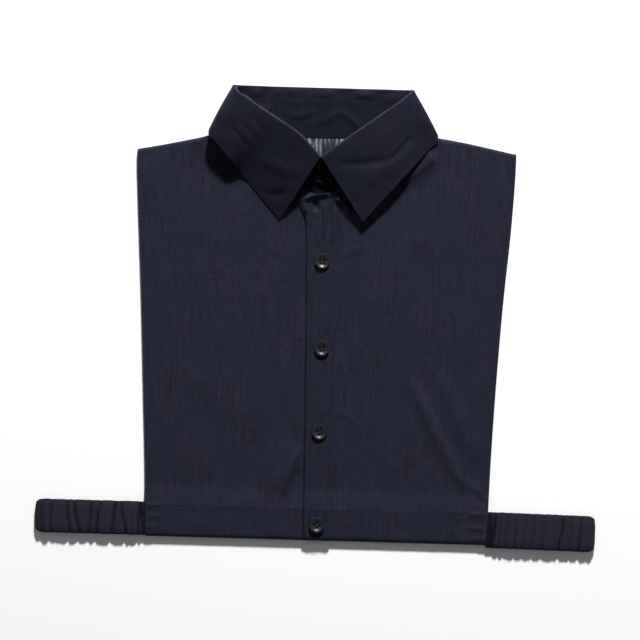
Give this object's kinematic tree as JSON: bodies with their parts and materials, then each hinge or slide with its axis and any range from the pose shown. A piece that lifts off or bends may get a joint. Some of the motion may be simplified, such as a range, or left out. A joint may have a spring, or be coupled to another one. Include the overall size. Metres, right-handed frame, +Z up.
{
  "type": "detachable shirt collar",
  "caption": "Detachable shirt collar laid flat: a short button-front bib of dark cotton with a pointed fold-over collar and elastic side straps.",
  "frame": {"origin": "centre of the part's box in plan, on the surface it lies on", "axes": "+X across the bib from the wearer's right to the wearer's left, +Y from the hem to the collar, +Z up from the surface, through the front"},
  "size_m": [0.4698, 0.3832, 0.0222],
  "materials": {
    "bib_cloth": "matt plain-woven cotton with a faint slub and a soft sheen",
    "collar_cloth": "the same cotton, stiffened, with topstitched edges",
    "strap_cloth": "the same cotton, gathered over elastic",
    "button": "glossy black four-hole shirt button"
  },
  "bodies": {
    "root": {"back_panel": "bib_cloth", "front_right_panel": "bib_cloth", "front_left_panel": "bib_cloth", "placket": "bib_cloth", "collar_stand": "collar_cloth", "collar_leaf": "collar_cloth", "left_strap": "strap_cloth", "right_strap": "strap_cloth", "button_1": "button", "button_2": "button", "button_3": "button", "button_4": "button", "button_neck": "button"}
  },
  "joints": []
}
